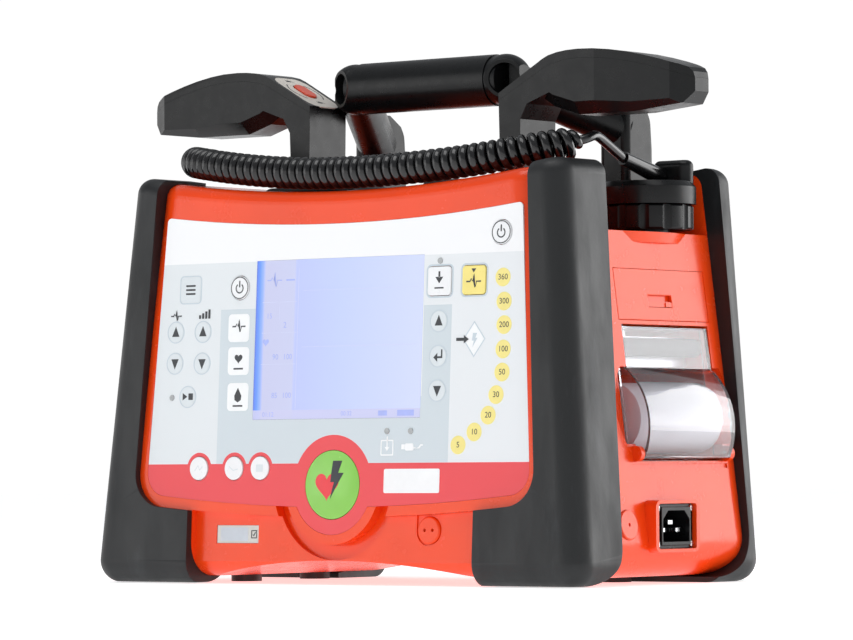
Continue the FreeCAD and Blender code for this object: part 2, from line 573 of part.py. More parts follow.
def tube(points, r, name):
    """A tube along straight runs joined by the largest arcs that they allow."""
    p = [V(*q) for q in points]
    edges, start, radii = [], p[0], []
    for a, b, c in zip(p, p[1:], p[2:]):
        back, on = (a - b).normalize(), (c - b).normalize()
        half = (math.pi - back.getAngle(on)) / 2
        reach = 0.45 * min((a - b).Length, (c - b).Length)
        radii.append(reach / math.tan(half))
        middle = (back + on).normalize() * (radii[-1] / math.cos(half) - radii[-1])
        first, last = b + back * reach, b + on * reach
        edges += [Part.LineSegment(start, first).toShape(), Part.Arc(first, b + middle, last).toShape()]
        start = last
    edges.append(Part.LineSegment(start, p[-1]).toShape())
    path = Part.Wire(edges)
    ring = Part.Wire(Part.Circle(p[0], p[1] - p[0], r).toShape())
    solid = path.makePipeShell([ring], True, False)
    share = solid.Volume / (math.pi * r * r * path.Length)
    print(name, "length", round(path.Length, 1), "volume share", round(share, 4), "radii", [round(x) for x in radii])
    return solid


def cord_parts(plug):
    a, b = V(*LEAD[0]), V(*LEAD[2])
    along = (b - a).normalize()
    start = a + along * 2.0
    relief = Part.makeCone(4.8, 3.7, (b - start).Length - 0.2, start, along).cut(plug)
    lead = tube([tuple(b)] + LEAD[3:], CORD_R, "lead")
    coil = tube(COIL, COIL_R, "coil")
    tail = tube(TAIL, CORD_R, "tail")
    # the coil's left end is cut upright, so that the tail can rise with its paddle
    start, after = V(*TAIL[0]), V(*TAIL[1])
    ahead = V(after.x - start.x, after.y - start.y, 0).normalize()
    end = WorkPlane(V(start.x, start.y, 0) - ahead * 0.45, ahead, V(-ahead.y, ahead.x, 0))
    coil = coil.cut([lead, end.put(box(0, 20, -16, 16, 205, 255))])
    return {"cord_strain_relief": relief.removeSplitter(), "cord_lead": lead, "cord_coil": coil, "cord_tail": tail}


# ------------------------------------------------------------------ handle
def handle_parts():
    y, z, r = HANDLE_Y, HANDLE_Z, HANDLE_R
    bar = rod(V(-52, y, z), V(52, y, z), r - 1.8)
    parts = [bar]
    for sign in (-1, 1):
        elbow = V(sign * 52, y, z)
        knee = V(sign * 85.5, 66, 246)
        collar = rod(V(sign * 46.3, y, z), elbow, r)
        ball = Part.makeSphere(r + 0.4, elbow)
        arm = rod(elbow, knee, r - 2.5)
        leg = prism([(LEG_Y[0] + 0.2, 205), (LEG_Y[0] + 0.2, 258), (60, LEG_TOP_Z), (66, LEG_TOP_Z), (76, 256),
                     (82, 246), (LEG_Y[1] - 0.2, 236), (LEG_Y[1] - 0.2, 205)], LEG_X[0], LEG_X[1])
        leg = PROFILE.put(leg)
        leg = leg if sign > 0 else mirrored(leg)
        leg = rounded(leg, 4.0, lambda e: runs_along(e, 2))
        cut = V(sign * -0.48, 0.87, 0)
        trim = Part.makeBox(80, 80, 80, V(-40, -40, 0))
        trim.Placement = FreeCAD.Placement(elbow - cut * 9.5, FreeCAD.Rotation(V(0, 0, 1), V(-cut.x, -cut.y, 0)))
        recess = Part.makeCylinder(8.6, 14, elbow - cut * 12, cut)
        end = collar.fuse([ball, arm]).cut([trim, recess])
        parts.append(end.cut(box(-46.3, 46.3, -60, 60, 200, 320)).fuse(leg))
    frame = joined(parts)
    y0, y1 = PADDLE_Y
    room = box(NECK_X - 1.2, NECK_X + 20, y0 - 1, y1 + 1, 180, 320)
    frame = frame.cut([room, mirrored(room)])
    sleeve = rod(V(-46, y, z), V(46, y, z), r + 0.5).cut(rod(V(-47, y, z), V(47, y, z), r - 1.6))
    return {"handle_frame": frame, "handle_grip": sleeve}


# ------------------------------------------------------------------ paddles (the right one)
def paddle_outline(points, y0, y1):
    return FRONTAL.put(prism(points, -y1, -y0))


def paddle_parts():
    y0, y1 = PADDLE_Y
    grip = [(94, 279.2), (98, 281.0), (104, 282.4), (110, 283.1), (117, 283.4), (127, 283.1), (137, 282.1), (148, 280.3),
            (158, 278.1), (168, 275.5), (178, 272.5), (182.4, 270.8), (184.7, 268.4), (185.5, 265), (185.5, 258), (180, 252),
            (150, 249), (114, 249), (98, 254), (91, 258.5), (84, 256), (79.5, 248), (78.5, 214), (66.0, 214),
            (NECK_X, 262.5)]
    form = paddle_outline(grip, y0, y1)
    low_edges = [e for e in form.Edges if not runs_along(e, 1) and e.BoundBox.ZMax < 259 and e.BoundBox.XMin > 90]
    form = form.makeChamfer(6.5, low_edges)
    outline = prism([(60, y0), (128, y0), (174, y0 + 3.5), (185.5, y0 + 10.5), (185.5, y1 - 9), (174, y1 - 3.5),
                     (128, y1), (60, y1)], 200, 300)
    form = form.common(outline)
    split = [(50, 300), (50, 258.6), (NECK_X, 258.6), (98, 276.0), (110, 278.3), (117, 278.6), (127, 278.3), (137, 277.3),
             (148, 275.5), (158, 273.3), (168, 270.7), (178, 267.7), (200, 260.6), (200, 300)]
    cover = paddle_outline(split, y0 - 5, y1 + 5)
    upper, lower = form.common(cover), form.cut(cover)
    x0, x1, b0, b1 = PADDLE_BASE
    base = box(x0, x1, b0, b1, DECK_Z + 2.2, 216.5, 10)
    base = rounded(base, 4.0, lambda e: e.BoundBox.ZMin > 216.4)
    lower = lower.cut(base)
    button = box(-7.5, 7.5, -4.6, 4.6, -4.4, 1.0, 4.5)
    button = rounded(button, 0.7, lambda e: e.BoundBox.ZMin > 0.9)
    button = LABEL.put(button.fuse(box(-8.7, 8.7, -5.8, 5.8, -4.9, -3.9, 5.0)).removeSplitter())
    hole = LABEL.put(box(-7.8, 7.8, -4.9, 4.9, -7, 2, 4.8))
    hollow = LABEL.put(box(-9.1, 9.1, -6.2, 6.2, -6.8, -3.7, 5.0))
    recess = LABEL.put(box(-19.1, 17.1, -13.6, 13.6, -1.0, 4, 8))
    electrode = box(x0 + 4, x1 - 4, b0 + 4, b1 - 4, DECK_Z + 0.3, DECK_Z + 2.2, 8)
    return {"shell_upper": upper.cut([hole, hollow, recess]), "shell_lower": lower.cut([hole, hollow]),
            "base": base, "electrode": electrode, "shock_button": button}


# the slanted top of a paddle's neck
_c, _s = leaning(30.0)
LABEL = WorkPlane(V(81.2, sum(PADDLE_Y) / 2, 271.8), V(_c, 0, _s), V(0, 1, 0))


# ------------------------------------------------------------------ inside the case
def inner_parts():
    capacitor = rod(V(-70, 40, 136), V(40, 40, 136), 30)
    capacitor = capacitor.fuse([rod(V(39, 40 + d, 136), V(48, 40 + d, 136), 4) for d in (-12, 12)])
    tray = box(-110, 98, -44, 80, 97, 98.6).fuse(box(-110, 98, -44, -42.4, 97, 112)).removeSplitter()
    supply = box(28, 90, -40, 1, 17.5, 62, 2)
    main = box(-108, 96, -50, -48.4, 30, 188)
    cone = [(0, 0), (20, 0), (20, 4), (11, 9), (11, 16), (0, 16)]
    speaker = lathe(cone, V(-150, 5, 62), V(1, 0, 0))
    return {"hv_capacitor": capacitor.removeSplitter(), "chassis_tray": tray, "power_supply": supply,
            "main_board": main, "speaker": speaker}


def battery_pack():
    pack = battery_box(-0.4, 77.0).common(case(0.0, 0.0, 8.0, 18.0))
    grip = box(-22, 22, 78, 120, 62, 78, 4, 1)
    return pack.cut(grip)


def small_parts():
    feet = [Part.makeCylinder(FOOT_R, FLOOR_Z + 1.5, V(x, y, 0)) for x, y in FEET]
    screws = [rear_rod(x, z, SCREW_R - 0.05, -12, -1.6).fuse(rear_rod(x, z, SCREW_HEAD_R - 0.1, -1.6, 0.2))
              for x, z in REAR_SCREWS]
    pads = [Part.makeCylinder(4.0, 1.5, V(s * x, y, DECK_Z - 1.5)) for s in (-1, 1) for x, y in CONTACTS]
    return {"rubber_feet": group(feet), "rear_screws": group(screws), "test_contacts": group(pads)}


def every_part():
    parts = {"front_housing": front_housing(), "rear_housing": rear_housing(), "battery_pack": battery_pack()}
    for made in (bumpers(), panel_parts(), printer_parts(), inlet_parts(), connector_parts(), handle_parts(),
                 inner_parts(), small_parts()):
        parts.update(made)
    parts.update(cord_parts(parts["plug_housing"]))
    for name, shape in paddle_parts().items():
        parts["right_paddle_" + name] = shape
        parts["left_paddle_" + name] = mirrored(shape)
    return parts


os.makedirs("parts", exist_ok=True)
for node, shape in every_part().items():
    shape.exportStep("parts/" + node + ".step")
    print(node, len(shape.Solids), round(shape.Volume / 1000, 2), "cm3", "" if shape.isValid() else "INVALID")
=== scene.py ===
"""Looks of a portable hospital defibrillator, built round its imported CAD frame.

Places on the object are in millimetres, on the same planes as the CAD source, and Blender's own units are metres.
"""
import json
import math

import bmesh
import bpy
from mathutils import Matrix, Vector


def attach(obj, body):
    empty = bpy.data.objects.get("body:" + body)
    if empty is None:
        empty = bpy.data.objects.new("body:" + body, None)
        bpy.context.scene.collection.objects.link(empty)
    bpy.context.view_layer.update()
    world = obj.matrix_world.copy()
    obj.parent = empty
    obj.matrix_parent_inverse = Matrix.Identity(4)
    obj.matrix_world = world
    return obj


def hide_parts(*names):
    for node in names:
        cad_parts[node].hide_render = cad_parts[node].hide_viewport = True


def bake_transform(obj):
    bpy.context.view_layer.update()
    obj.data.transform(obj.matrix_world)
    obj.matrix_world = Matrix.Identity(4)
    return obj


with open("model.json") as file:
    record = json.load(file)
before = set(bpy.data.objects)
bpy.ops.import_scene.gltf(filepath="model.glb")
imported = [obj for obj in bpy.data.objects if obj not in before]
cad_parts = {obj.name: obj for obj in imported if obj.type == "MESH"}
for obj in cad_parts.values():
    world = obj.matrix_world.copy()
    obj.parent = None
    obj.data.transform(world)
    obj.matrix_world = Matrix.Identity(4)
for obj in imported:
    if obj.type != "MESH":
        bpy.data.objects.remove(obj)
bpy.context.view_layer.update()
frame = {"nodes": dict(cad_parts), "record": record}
MM = 0.001


class Plane:
    """u and v lie in a face of the object, w points out of it, and the origin is in millimetres."""

    def __init__(self, origin, u, v):
        self.origin, self.u, self.v = Vector(origin), Vector(u), Vector(v)
        self.w = self.u.cross(self.v)

    def matrix(self, w=0.0):
        place = self.origin + self.w * w
        columns = [self.u, self.v, self.w, place * MM]
        return Matrix([[c[i] for c in columns] for i in range(3)] + [[0, 0, 0, 1]])

    def at(self, u, v, w=0.0):
        return (self.origin + self.u * u + self.v * v + self.w * w) * MM


def tilt(degrees):
    return math.cos(math.radians(degrees)), math.sin(math.radians(degrees))


_c, _s = tilt(3.3)
PANEL = Plane((0, -86.4, 0), (1, 0, 0), (0, _s, _c))
FILM_W = -0.1
LOWER_W = -3.5
_c, _s = tilt(30.0)
BAND_TOP = 65.0              # top of the red band on the film, in v
HEADER_FOOT = 174.6          # foot of the white header
SHOCK_KEY = (0, 53.5)        # middle of the green key
SHOCK_RISE, SHOCK_R = 1.6, 18.3  # its dome's height and radius
SOFT_KEYS = {"soft_key_left": -93.3, "soft_key_middle": -68.5, "soft_key_right": -50.2}
SOFT_KEY_V = 62.6
LABELS = {"right": Plane((81.2, -4, 271.8), (_c, 0, _s), (0, 1, 0)),
          "left": Plane((-81.2, -4, 271.8), (-_c, 0, _s), (0, -1, 0))}


# ------------------------------------------------------------------ materials
class Shade:
    """A Principled material with helpers for the nodes that vary it."""

    def __init__(self, name, colour, rough, **more):
        self.material = bpy.data.materials.new(name)
        self.material.use_nodes = True
        self.tree = self.material.node_tree
        self.shader = self.tree.nodes["Principled BSDF"]
        self.shader.inputs["Base Color"].default_value = (*colour, 1)
        self.shader.inputs["Roughness"].default_value = rough
        for socket, value in more.items():
            self.shader.inputs[socket.replace("_", " ")].default_value = value
        self.colour = colour

    def node(self, kind, **settings):
        node = self.tree.nodes.new(kind)
        for key, value in settings.items():
            setattr(node, key, value)
        return node

    def link(self, a, b):
        self.tree.links.new(a, b)

    def place(self):
        return self.node("ShaderNodeTexCoord").outputs["Object"]

    def noise(self, scale, detail=3.0, rough=0.55, stretch=None):
        node = self.node("ShaderNodeTexNoise")
        node.inputs["Scale"].default_value = scale
        node.inputs["Detail"].default_value = detail
        node.inputs["Roughness"].default_value = rough
        place = self.place()
        if stretch:
            mapping = self.node("ShaderNodeMapping")
            mapping.inputs["Scale"].default_value = stretch
            self.link(place, mapping.inputs["Vector"])
            place = mapping.outputs["Vector"]
        self.link(place, node.inputs["Vector"])
        return node.outputs["Fac"]

    def between(self, value, low, high, to_low, to_high):
        node = self.node("ShaderNodeMapRange")
        for i, number in enumerate((low, high, to_low, to_high)):
            node.inputs[1 + i].default_value = number
        self.link(value, node.inputs["Value"])
        return node.outputs["Result"]

    def math(self, operation, a, b=None):
        node = self.node("ShaderNodeMath", operation=operation)
        for socket, value in zip(node.inputs, (a, b)):
            if value is None:
                continue
            if isinstance(value, (int, float)):
                socket.default_value = value
            else:
                self.link(value, socket)
        return node.outputs[0]

    def mix(self, factor, a, b):
        """Mixed colour; a and b are colours or sockets."""
        node = self.node("ShaderNodeMix", data_type="RGBA")
        self.link(factor, node.inputs["Factor"])
        for socket, value in ((node.inputs[6], a), (node.inputs[7], b)):
            if isinstance(value, tuple):
                socket.default_value = (*value, 1)
            else:
                self.link(value, socket)
        return node.outputs[2]

    def paint(self, socket):
        self.link(socket, self.shader.inputs["Base Color"])
        return self

    def tinted(self, scale, amount, stretch=None):
        """Slow colour variation, darker and lighter by amount."""
        dark = tuple(c * (1 - amount) for c in self.colour)
        light = tuple(min(1.0, c * (1 + amount)) for c in self.colour)
        share = self.between(self.noise(scale, 2.0, stretch=stretch), 0.3, 0.7, 0, 1)
        return self.paint(self.mix(share, dark, light))

    def worn(self, scale, low, high, stretch=None):
        """Roughness that varies from low to high."""
        varied = self.between(self.noise(scale, 4.0, 0.65, stretch), 0.3, 0.7, low, high)
        self.link(varied, self.shader.inputs["Roughness"])
        return self

    def grained(self, scale, depth, detail=2.0, stretch=None):
        """Fine surface relief, depth in millimetres."""
        bump = self.node("ShaderNodeBump")
        bump.inputs["Strength"].default_value = 1.0
        bump.inputs["Distance"].default_value = depth * MM
        self.link(self.noise(scale, detail, stretch=stretch), bump.inputs["Height"])
        self.link(bump.outputs["Normal"], self.shader.inputs["Normal"])
        return self


def orange_shell():
    shade = Shade("orange_shell", (0.86, 0.058, 0.004), 0.24, Coat_Weight=0.12, Coat_Roughness=0.08,
                  Specular_IOR_Level=0.36)
    return shade.tinted(18, 0.05).worn(90, 0.18, 0.30).grained(160, 0.010)


def black_rubber():
    shade = Shade("black_rubber", (0.011, 0.012, 0.0135), 0.46, Specular_IOR_Level=0.42)
    scuff = shade.between(shade.noise(38, 6.0, 0.7, (1, 1, 0.25)), 0.56, 0.78, 0, 1)
    shade.paint(shade.mix(scuff, (0.009, 0.010, 0.011), (0.026, 0.029, 0.033)))
    return shade.worn(55, 0.34, 0.56, (1, 1, 0.3)).grained(420, 0.035, 4.0)


def satin_black():
    return Shade("satin_black", (0.0045, 0.005, 0.0055), 0.3, Specular_IOR_Level=0.27).worn(
        120, 0.24, 0.36).grained(1500, 0.012, 1.0)


def panel_film():
    """The printed overlay: white header, pale field, blue-grey strips and the red band with its round lobes."""
    shade = Shade("panel_film", (0.74, 0.78, 0.81), 0.32, Coat_Weight=0.25, Coat_Roughness=0.2)
    axes = shade.node("ShaderNodeSeparateXYZ")
    shade.link(shade.place(), axes.inputs[0])
    u = shade.math("MULTIPLY", axes.outputs["X"], 1000)
    v = shade.math("MULTIPLY", axes.outputs["Z"], 1000 / tilt(3.3)[0])

    def within(value, low, high):
        return shade.math("MULTIPLY", shade.math("GREATER_THAN", value, low), shade.math("LESS_THAN", value, high))

    def round_patch(at_u, at_v, r):
        du, dv = shade.math("SUBTRACT", u, at_u), shade.math("SUBTRACT", v, at_v)
        away = shade.math("ADD", shade.math("MULTIPLY", du, du), shade.math("MULTIPLY", dv, dv))
        return shade.math("LESS_THAN", away, r * r)

    strips = shade.math("MULTIPLY", within(u, -81.2, -55.1), within(v, 60, 149))
    strips = shade.math("MAXIMUM", strips, shade.math("MULTIPLY", within(u, 58.4, 76.9), within(v, 60, 148)))
    strips = shade.math("MAXIMUM", strips, shade.math("MULTIPLY", within(u, -56, 59), within(v, 60, 100)))
    header = shade.math("GREATER_THAN", v, HEADER_FOOT)
    red = shade.math("LESS_THAN", v, BAND_TOP)
    red = shade.math("MAXIMUM", red, round_patch(*SHOCK_KEY, 26.65))
    for key_u in SOFT_KEYS.values():
        red = shade.math("MAXIMUM", red, round_patch(key_u, SOFT_KEY_V, 8.6))
    # painted light: the pale field is painted a little lighter from left to right, standing in for how the light
    # falls across the flat film
    painted_light_across = shade.between(u, -130, 130, 0, 1)
    field = shade.mix(painted_light_across, (0.73, 0.775, 0.80), (0.78, 0.81, 0.835))
    field = shade.mix(strips, field, (0.60, 0.675, 0.72))
    field = shade.mix(header, field, (0.90, 0.91, 0.925))
    shade.paint(shade.mix(red, field, (0.80, 0.035, 0.048)))
    return shade.worn(240, 0.28, 0.38).grained(900, 0.006)


def screen_glass():
    """A lit liquid crystal screen seen through its window: pale lilac, with a blue edge and a greyer side column."""
    shade = Shade("screen_glass", (0.45, 0.52, 0.86), 0.08, Coat_Weight=0.6, Coat_Roughness=0.03)
    axes = shade.node("ShaderNodeSeparateXYZ")
    shade.link(shade.place(), axes.inputs[0])
    across = shade.node("ShaderNodeValToRGB")
    shade.link(shade.between(axes.outputs["X"], -0.0567, 0.0577, 0, 1), across.inputs[0])
    across.color_ramp.interpolation = "LINEAR"
    stops = [(0.0, (0.03, 0.12, 0.62)), (0.022, (0.07, 0.25, 0.95)), (0.040, (0.22, 0.36, 0.90)),
             (0.055, (0.46, 0.48, 0.70)), (0.235, (0.47, 0.50, 0.72)), (0.245, (0.40, 0.46, 0.86)),
             (0.5, (0.43, 0.51, 0.88)), (1.0, (0.52, 0.58, 0.90))]
    ramp = across.color_ramp
    while len(ramp.elements) < len(stops):
        ramp.elements.new(0.5)
    for element, (at, colour) in zip(ramp.elements, stops):
        element.position, element.color = at, (*colour, 1)
    foot = shade.between(axes.outputs["Z"], 0.0935, 0.0938, 1, 0)
    shade.paint(shade.mix(foot, across.outputs["Color"], (0.48, 0.49, 0.72)))
    shade.link(across.outputs["Color"], shade.shader.inputs["Emission Color"])
    shade.shader.inputs["Emission Strength"].default_value = 0.12
    return shade.worn(60, 0.05, 0.12)


def clear_plastic():
    shade = Shade("clear_plastic", (0.93, 0.93, 0.965), 0.04, Transmission_Weight=0.97, IOR=1.46, Coat_Weight=0.3)
    return shade.worn(120, 0.02, 0.08)


def shades():
    made = {
        "orange_shell": orange_shell(), "black_rubber": black_rubber(), "satin_black": satin_black(),
        "panel_film": panel_film(), "screen_glass": screen_glass(), "clear_plastic": clear_plastic(),
        "module_plastic": Shade("module_plastic", (0.05, 0.055, 0.06), 0.5).tinted(40, 0.1),
        "circuit_board": Shade("circuit_board", (0.01, 0.09, 0.04), 0.35).tinted(200, 0.3).grained(600, 0.03),
        "key_green": Shade("key_green", (0.235, 0.60, 0.075), 0.22, Coat_Weight=0.3).tinted(60, 0.04).worn(
            150, 0.18, 0.28),
        "key_white": Shade("key_white", (0.86, 0.875, 0.89), 0.3).tinted(70, 0.02).worn(200, 0.26, 0.36),
        "key_yellow": Shade("key_yellow", (0.90, 0.76, 0.22), 0.3).tinted(70, 0.03).worn(200, 0.26, 0.36),
        "lamp_lens": Shade("lamp_lens", (0.62, 0.65, 0.66), 0.1, Transmission_Weight=0.4).tinted(300, 0.1),
        "paper": Shade("paper", (0.87, 0.87, 0.88), 0.7).tinted(60, 0.03).grained(700, 0.02),
        "roller_rubber": Shade("roller_rubber", (0.02, 0.02, 0.022), 0.6).tinted(90, 0.2).grained(500, 0.03),
        "steel": Shade("steel", (0.56, 0.57, 0.58), 0.26, Metallic=1.0).worn(300, 0.18, 0.34, (1, 12, 1)),
        "tray_metal": Shade("tray_metal", (0.62, 0.63, 0.64), 0.38, Metallic=1.0).worn(120, 0.3, 0.46),
        "capacitor_film": Shade("capacitor_film", (0.02, 0.04, 0.16), 0.25).tinted(30, 0.15),
        "battery_case": Shade("battery_case", (0.014, 0.015, 0.016), 0.42).worn(90, 0.36, 0.5).grained(900, 0.03),
        "gold_contact": Shade("gold_contact", (0.78, 0.55, 0.22), 0.22, Metallic=1.0).worn(200, 0.16, 0.3),
        "shock_orange": Shade("shock_orange", (0.74, 0.075, 0.03), 0.3, Coat_Weight=0.2).tinted(80, 0.05),
        "cord_black": Shade("cord_black", (0.004, 0.004, 0.0045), 0.16, Coat_Weight=0.3).worn(
            140, 0.12, 0.24).grained(500, 0.01),
        "status_glass": Shade("status_glass", (0.60, 0.62, 0.58), 0.2, Coat_Weight=0.4).tinted(120, 0.04),
        "speaker_paper": Shade("speaker_paper", (0.02, 0.02, 0.02), 0.8).grained(300, 0.05),
        "ink_dark": Shade("ink_dark", (0.030, 0.034, 0.040), 0.4).tinted(300, 0.1),
        "ink_white": Shade("ink_white", (0.90, 0.92, 0.93), 0.34).tinted(150, 0.02),
        "ink_pale": Shade("ink_pale", (0.70, 0.755, 0.785), 0.34).tinted(150, 0.02),
        "ink_rim": Shade("ink_rim", (0.56, 0.64, 0.70), 0.36).tinted(150, 0.03),
        "ink_yellow": Shade("ink_yellow", (0.90, 0.78, 0.25), 0.34).tinted(150, 0.03),
        "ink_red": Shade("ink_red", (0.80, 0.035, 0.048), 0.32).tinted(150, 0.03),
        "screen_ink": Shade("screen_ink", (0.33, 0.40, 0.84), 0.1, Coat_Weight=0.6).tinted(150, 0.05),
        "screen_line": Shade("screen_line", (0.56, 0.60, 0.84), 0.1, Coat_Weight=0.6).tinted(150, 0.05),
        "label_plate": Shade("label_plate", (0.66, 0.62, 0.56), 0.35).tinted(120, 0.04).grained(900, 0.01),
    }
    return {name: shade.material for name, shade in made.items()}


MATERIALS = shades()
SLOT_OF = {part["node"]: part["material_slot"] for part in frame["record"]["subparts"]}


def rounded_edges(obj, width, angle=28.0, segments=3):
    """Softens the crisp edges of a moulded part."""
    weld = obj.modifiers.new("weld", "WELD")
    weld.merge_threshold = 0.01 * MM
    if "paddle" in obj.name:
        flats = obj.modifiers.new("flats", "DECIMATE")
        flats.decimate_type, flats.angle_limit = "DISSOLVE", math.radians(1.5)
    bevel = obj.modifiers.new("edges", "BEVEL")
    bevel.width, bevel.segments = width * MM, segments
    bevel.limit_method, bevel.angle_limit = "ANGLE", math.radians(angle)


# how far the corners of each moulding are rounded, in millimetres
SOFTENED = {"front_bumper": 1.6, "rear_bumper": 1.6, "paddle_shell_lower": 2.2, "paddle_shell_upper": 2.0,
            "handle_frame": 1.0, "plug_ring": 0.5, "plug_housing": 0.8, "printer_cover": 0.5, "printer_window": 0.5,
            "battery_pack": 0.5, "mains_inlet": 0.3, "socket_cap": 0.4, "paddle_base": 0.6}
for node, obj in frame["nodes"].items():
    obj.data.materials.clear()
    obj.data.materials.append(MATERIALS[SLOT_OF[node]])
    for ending, width in SOFTENED.items():
        if ending in node:
            rounded_edges(obj, width)


# ------------------------------------------------------------------ pieces
def add_piece(name, mesh, material, body="case", smooth=False):
    mesh.materials.clear()
    mesh.materials.append(MATERIALS[material])
    obj = bpy.data.objects.new(name, mesh)
    bpy.context.scene.collection.objects.link(obj)
    for face in mesh.polygons:
        face.use_smooth = smooth
    if body:
        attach(obj, body)
    return obj


def circle(u, v, r, count=40):
    turn = 2 * math.pi / count
    return [(u + r * math.cos(i * turn), v + r * math.sin(i * turn)) for i in range(count)]


def rounded_box(u, v, half_u, half_v, r, count=6):
    loop = []
    for corner, (su, sv) in enumerate(((1, 1), (-1, 1), (-1, -1), (1, -1))):
        for i in range(count + 1):
            a = math.pi / 2 * (corner + i / count)
            loop.append((u + su * (half_u - r) + r * math.cos(a), v + sv * (half_v - r) + r * math.sin(a)))
    return loop


def arc_band(u, v, r0, r1, start, end, count=24):
    """Part of a ring, between two angles in degrees."""
    angles = [math.radians(start + (end - start) * i / count) for i in range(count + 1)]
    outer = [(u + r1 * math.cos(a), v + r1 * math.sin(a)) for a in angles]
    return outer + [(u + r0 * math.cos(a), v + r0 * math.sin(a)) for a in reversed(angles)]


def moved(points, u, v, size=1.0):
    return [(u + x * size, v + y * size) for x, y in points]


def stroke(points, width):
    """A line of even width along open points."""
    left, right = [], []
    for i, (x, y) in enumerate(points):
        x0, y0 = points[max(i - 1, 0)]
        x1, y1 = points[min(i + 1, len(points) - 1)]
        length = math.hypot(x1 - x0, y1 - y0)
        nx, ny = -(y1 - y0) / length * width / 2, (x1 - x0) / length * width / 2
        left.append((x + nx, y + ny))
        right.append((x - nx, y - ny))
    return left + right[::-1]


def heart(u, v, size):
    loop = []
    for i in range(48):
        t = 2 * math.pi * i / 48
        x = 16 * math.sin(t) ** 3
        y = 13 * math.cos(t) - 5 * math.cos(2 * t) - 2 * math.cos(3 * t) - math.cos(4 * t)
        loop.append((u + x * size / 17, v + y * size / 17))
    return loop


UP = [(-2.6, -2.4), (2.6, -2.4), (0, 3.2)]
DOWN = [(-2.6, 2.4), (0, -3.2), (2.6, 2.4)]
BOLT = [(-1.2, 9.0), (4.2, 9.0), (2.4, 3.2), (5.6, 3.2), (-2.2, -9.4), (0.2, -1.2), (-2.0, -1.2)]
TRACE = [(-4, 0), (-2, 0), (-1.3, 1.2), (-0.5, 0), (0, 3.4), (0.8, -2.6), (1.5, 0), (4, 0)]


def power_mark(u, v, r):
    """The standby symbol in its circle, and then the bar."""
    ring = [circle(u, v, r), circle(u, v, r - 0.55)]
    inner = [arc_band(u, v - 0.3, 0.34 * r, 0.46 * r, 125, 415)]
    return ring + inner + [rounded_box(u, v + 0.34 * r, 0.07 * r, 0.3 * r, 0.06 * r)]


class Print:
    """Flat shapes on a plane, gathered into one piece of their own thickness."""

    def __init__(self, plane, w, thick=0.05):
        self.plane, self.w, self.thick = plane, w, thick
        self.form = bmesh.new()

    def take(self, data):
        holder = bpy.data.objects.new("outline", data)
        mesh = bpy.data.meshes.new_from_object(holder)
        mesh.transform(self.plane.matrix(self.w + self.thick / 2))
        self.form.from_mesh(mesh)
        bpy.data.objects.remove(holder)

    def shapes(self, loops):
        """Closed loops; one that lies in another is a hole."""
        curve = bpy.data.curves.new("outline", "CURVE")
        curve.dimensions, curve.fill_mode, curve.extrude = "2D", "BOTH", self.thick / 2 * MM
        for loop in loops:
            spline = curve.splines.new("POLY")
            spline.points.add(len(loop) - 1)
            spline.use_cyclic_u = True
            for point, (u, v) in zip(spline.points, loop):
                point.co = (u * MM, v * MM, 0, 1)
        self.take(curve)
        return self

    def figures(self, figures, u, v, size):
        font = bpy.data.curves.new("figures", "FONT")
        font.body, font.size, font.extrude = figures, size * MM, self.thick / 2 * MM
        font.align_x, font.align_y = "CENTER", "CENTER"
        font.offset_x, font.offset_y = u * MM, v * MM
        font.resolution_u = 4
        self.take(font)
        return self

    def done(self, name, material, body="case", slot=None):
        mesh = bpy.data.meshes.new(name)
        self.form.to_mesh(mesh)
        self.form.free()
        return add_piece(name, mesh, material, body)


# ------------------------------------------------------------------ what the control panel shows
ENERGY = {"360": (109.8, 161.4), "300": (110.9, 148.8), "200": (111.3, 136.5), "100": (111.1, 123.8),
          "50": (110.8, 111.8), "30": (107.3, 100.1), "20": (102.5, 89.5), "10": (93.7, 80.8), "5": (83.4, 74.1)}
ARROWS = [(-113.0, 137.3, UP), (-93.6, 137.2, UP), (-113.0, 120.2, DOWN), (-93.6, 119.9, DOWN), (68.5, 139.4, UP),
          (68.6, 102.8, DOWN)]
SIDE_PADS = [(-68.1, 138.8), (-67.7, 120.8), (-67.4, 101.3)]


def charge_diamond(half_u, half_v):
    return moved([(0, half_v), (-half_u, 0), (0, -half_v), (half_u, 0)], 92.0, 129.4)


